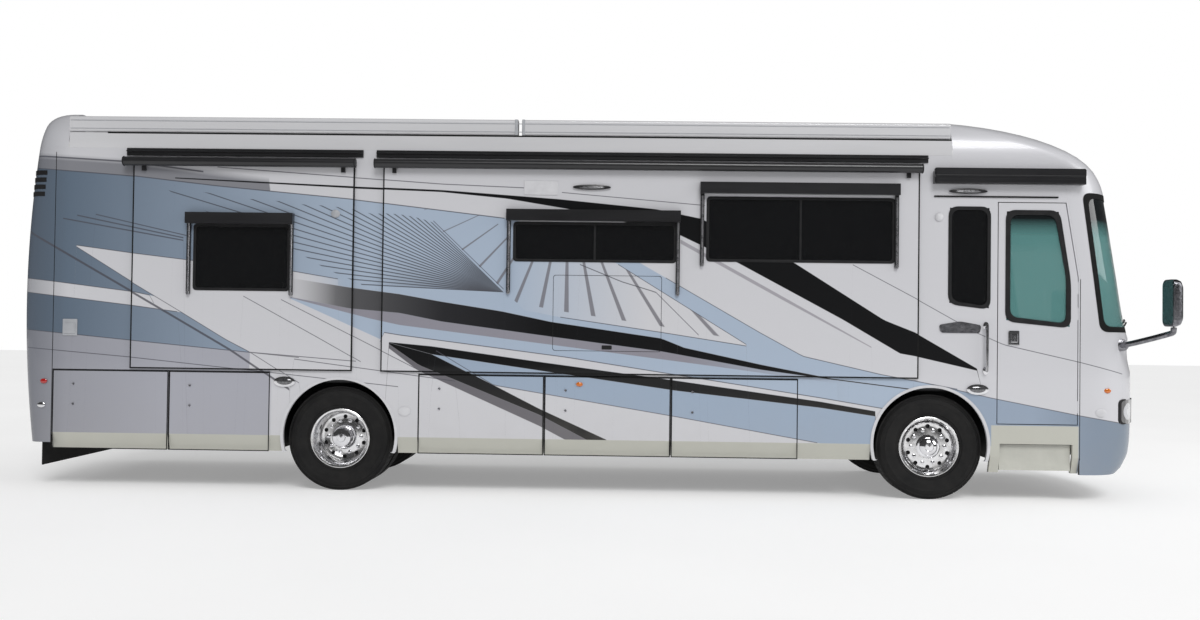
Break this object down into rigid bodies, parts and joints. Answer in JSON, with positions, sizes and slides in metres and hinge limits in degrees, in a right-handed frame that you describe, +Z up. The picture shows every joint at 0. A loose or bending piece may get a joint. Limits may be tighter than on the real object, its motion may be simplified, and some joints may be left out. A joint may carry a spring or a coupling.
{
  "type": "motorhome",
  "caption": "Rear-engined bus-style motorhome with slide-out rooms, entry door, storage bay doors, engine hatch and steered front wheels.",
  "frame": {"origin": "on the ground under the middle of the whole length, mirrors included, on the centre line", "axes": "+X forward, +Y to the road side (left), -Y to the kerb side with the entry door, +Z up"},
  "size_m": [11.572, 3.3, 3.849],
  "materials": {
    "body_paint": "gloss clear coat with painted bands",
    "roof_white": "semi-gloss white roof membrane and covers",
    "chassis": "satin black",
    "deck": "matte boards",
    "windshield_glass": "lightly green glass",
    "tinted_glass": "dark tinted glass",
    "bay_lining": "textured grey lining",
    "engine_metal": "painted castings",
    "axle_metal": "black, road-dusty",
    "spring_rubber": "matte",
    "seat_leather": "soft tan leather",
    "dash_plastic": "grained",
    "awning_case": "satin white aluminium",
    "black_case": "satin black aluminium",
    "lamp_lens": "clear and red lenses",
    "chrome_trim": "polished",
    "flap_rubber": "matte",
    "step_metal": "satin beige",
    "tyre_rubber": "matte",
    "polished_wheel": "polished"
  },
  "bodies": {
    "coach_body": {"chassis_rails": "chassis", "crossmembers": "chassis", "step_hangers": "chassis", "hitch_frame": "chassis", "floor": "deck", "right_wall": "body_paint", "left_wall": "body_paint", "roof": "roof_white", "front_cap": "body_paint", "rear_cap": "body_paint", "windshield": "windshield_glass", "side_windows": "tinted_glass", "right_storage_bays": "bay_lining", "left_storage_bays": "bay_lining", "engine": "engine_metal", "front_axle": "axle_metal", "rear_axle": "axle_metal", "air_springs": "spring_rubber", "cockpit_seats": "seat_leather", "dashboard": "dash_plastic", "steering_wheel": "dash_plastic", "patio_awnings": "awning_case", "door_awning": "black_case", "roof_air_conditioners": "roof_white", "lamps": "lamp_lens", "mirrors": "chrome_trim", "mud_flap": "flap_rubber"},
    "entry_door": {"entry_door": "body_paint", "entry_door_window": "tinted_glass"},
    "entry_step": {"entry_step": "step_metal"},
    "right_bay_door_1": {"right_bay_door_1": "body_paint"},
    "right_bay_door_2": {"right_bay_door_2": "body_paint"},
    "right_bay_door_3": {"right_bay_door_3": "body_paint"},
    "right_bay_door_4": {"right_bay_door_4": "body_paint"},
    "right_bay_door_5": {"right_bay_door_5": "body_paint"},
    "left_bay_door_1": {"left_bay_door_1": "body_paint"},
    "left_bay_door_2": {"left_bay_door_2": "body_paint"},
    "left_bay_door_3": {"left_bay_door_3": "body_paint"},
    "engine_hatch": {"engine_hatch": "body_paint"},
    "bedroom_slide": {"bedroom_slide": "body_paint", "bedroom_slide_window": "tinted_glass", "bedroom_slide_awnings": "black_case"},
    "living_slide": {"living_slide": "body_paint", "living_slide_windows": "tinted_glass", "living_slide_awnings": "black_case"},
    "galley_slide": {"galley_slide": "body_paint", "galley_slide_windows": "tinted_glass", "galley_slide_awning": "black_case"},
    "front_right_knuckle": {"front_right_knuckle": "axle_metal"},
    "front_right_wheel": {"front_right_tyre": "tyre_rubber", "front_right_rim": "polished_wheel"},
    "rear_right_wheels": {"rear_right_tyres": "tyre_rubber", "rear_right_rims": "polished_wheel"},
    "front_left_knuckle": {"front_left_knuckle": "axle_metal"},
    "front_left_wheel": {"front_left_tyre": "tyre_rubber", "front_left_rim": "polished_wheel"},
    "rear_left_wheels": {"rear_left_tyres": "tyre_rubber", "rear_left_rims": "polished_wheel"}
  },
  "joints": [
    {"name": "entry_door_hinge", "type": "hinge", "parent": "coach_body", "child": "entry_door", "pos_m": [4.9, -1.28, 1.8], "axis": [0, 0, 1], "range_deg": [0, 95]},
    {"name": "entry_step_slide", "type": "slide", "parent": "coach_body", "child": "entry_step", "axis": [0, -1, 0], "range_m": [0, 0.28]},
    {"name": "right_bay_door_1_hinge", "type": "hinge", "parent": "coach_body", "child": "right_bay_door_1", "pos_m": [-4.18044, -1.28, 0.8], "axis": [0, 0, 1], "range_deg": [0, 100]},
    {"name": "right_bay_door_2_hinge", "type": "hinge", "parent": "coach_body", "child": "right_bay_door_2", "pos_m": [-3.15, -1.28, 0.8], "axis": [0, 0, 1], "range_deg": [0, 100]},
    {"name": "right_bay_door_3_hinge", "type": "hinge", "parent": "coach_body", "child": "right_bay_door_3", "pos_m": [-0.39067, -1.28, 0.8], "axis": [0, 0, 1], "range_deg": [0, 100]},
    {"name": "right_bay_door_4_hinge", "type": "hinge", "parent": "coach_body", "child": "right_bay_door_4", "pos_m": [0.87667, -1.28, 0.8], "axis": [0, 0, 1], "range_deg": [0, 100]},
    {"name": "right_bay_door_5_hinge", "type": "hinge", "parent": "coach_body", "child": "right_bay_door_5", "pos_m": [2.144, -1.28, 0.8], "axis": [0, 0, 1], "range_deg": [0, 100]},
    {"name": "left_bay_door_1_hinge", "type": "hinge", "parent": "coach_body", "child": "left_bay_door_1", "pos_m": [-0.39067, 1.28, 0.8], "axis": [0, 0, -1], "range_deg": [0, 100]},
    {"name": "left_bay_door_2_hinge", "type": "hinge", "parent": "coach_body", "child": "left_bay_door_2", "pos_m": [0.87667, 1.28, 0.8], "axis": [0, 0, -1], "range_deg": [0, 100]},
    {"name": "left_bay_door_3_hinge", "type": "hinge", "parent": "coach_body", "child": "left_bay_door_3", "pos_m": [2.144, 1.28, 0.8], "axis": [0, 0, -1], "range_deg": [0, 100]},
    {"name": "engine_hatch_hinge", "type": "hinge", "parent": "coach_body", "child": "engine_hatch", "pos_m": [-5.78165, 0, 1.552], "axis": [0, 1, 0], "range_deg": [0, 85]},
    {"name": "bedroom_slide_out", "type": "slide", "parent": "coach_body", "child": "bedroom_slide", "axis": [0, -1, 0], "range_m": [0, 0.6]},
    {"name": "living_slide_out", "type": "slide", "parent": "coach_body", "child": "living_slide", "axis": [0, -1, 0], "range_m": [0, 0.6]},
    {"name": "galley_slide_out", "type": "slide", "parent": "coach_body", "child": "galley_slide", "axis": [0, 1, 0], "range_m": [0, 0.6]},
    {"name": "steer_right", "type": "hinge", "parent": "coach_body", "child": "front_right_knuckle", "pos_m": [3.456, -0.91, 0.522], "axis": [0, 0, 1], "range_deg": [-40, 40]},
    {"name": "front_right_wheel_spin", "type": "hinge", "parent": "front_right_knuckle", "child": "front_right_wheel", "pos_m": [3.456, -1.09, 0.522], "axis": [0, 1, 0], "continuous": true},
    {"name": "rear_right_wheels_spin", "type": "hinge", "parent": "coach_body", "child": "rear_right_wheels", "pos_m": [-2.444, -1.09, 0.522], "axis": [0, 1, 0], "continuous": true},
    {"name": "steer_left", "type": "hinge", "parent": "coach_body", "child": "front_left_knuckle", "pos_m": [3.456, 0.91, 0.522], "axis": [0, 0, 1], "range_deg": [-40, 40]},
    {"name": "front_left_wheel_spin", "type": "hinge", "parent": "front_left_knuckle", "child": "front_left_wheel", "pos_m": [3.456, 1.09, 0.522], "axis": [0, 1, 0], "continuous": true},
    {"name": "rear_left_wheels_spin", "type": "hinge", "parent": "coach_body", "child": "rear_left_wheels", "pos_m": [-2.444, 1.09, 0.522], "axis": [0, 1, 0], "continuous": true}
  ],
  "couplings": [
    {"joint": "steer_left", "follows": "steer_right", "ratio": 1}
  ]
}
